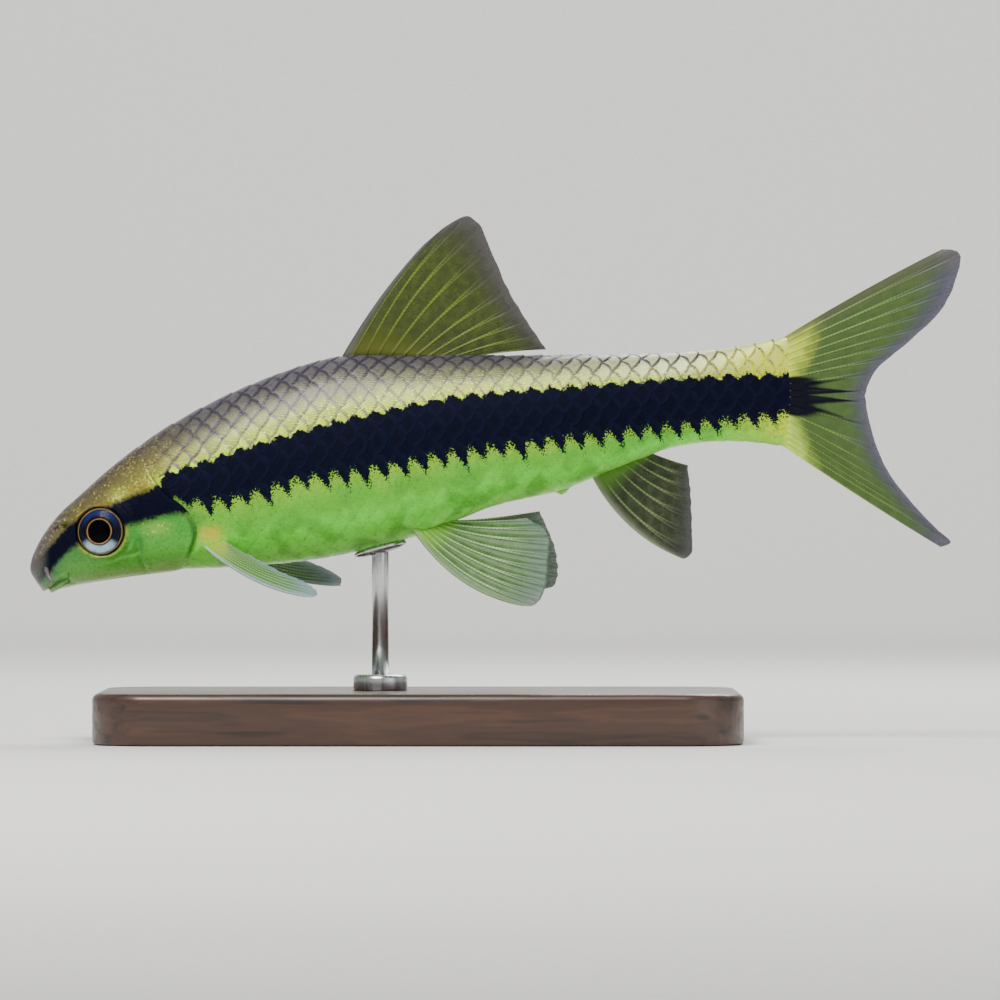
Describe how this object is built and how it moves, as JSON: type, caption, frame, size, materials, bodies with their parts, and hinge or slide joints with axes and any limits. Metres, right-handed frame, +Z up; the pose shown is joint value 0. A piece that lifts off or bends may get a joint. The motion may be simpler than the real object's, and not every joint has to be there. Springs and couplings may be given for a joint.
{
  "type": "siamese algae eater fish model on a display stand",
  "caption": "Slim long-bodied river fish with a high dorsal fin and forked tail, nose down as if feeding, held on a rod above a flat base.",
  "frame": {"origin": "middle of the bounding box in plan, on the underside of the stand base", "axes": "+X from the snout towards the tail fin, +Y towards the fish's right side, +Z up"},
  "size_m": [0.11, 0.042, 0.0621],
  "materials": {
    "scaled_skin": "cast and painted fish skin under a wet-look varnish, olive above, black along the side, yellow-green below",
    "fin_membrane": "clear tinted fin membrane with paler rays",
    "eye": "polished dark eye with a thin gold ring",
    "barbel_skin": "smooth pale skin",
    "stand_wood": "dark oiled wood, satin",
    "stand_steel": "fine brushed steel"
  },
  "bodies": {
    "root": {"head": "scaled_skin", "trunk": "scaled_skin", "tail_stalk": "scaled_skin", "dorsal_fin": "fin_membrane", "anal_fin": "fin_membrane", "tail_fin_upper": "fin_membrane", "tail_fin_lower": "fin_membrane", "pectoral_fin_left": "fin_membrane", "pectoral_fin_right": "fin_membrane", "pelvic_fin_left": "fin_membrane", "pelvic_fin_right": "fin_membrane", "eye_left": "eye", "eye_right": "eye", "barbel_left": "barbel_skin", "barbel_right": "barbel_skin", "stand_base": "stand_wood", "stand_rod": "stand_steel", "stand_collar": "stand_steel", "stand_cradle": "stand_steel"}
  },
  "joints": []
}
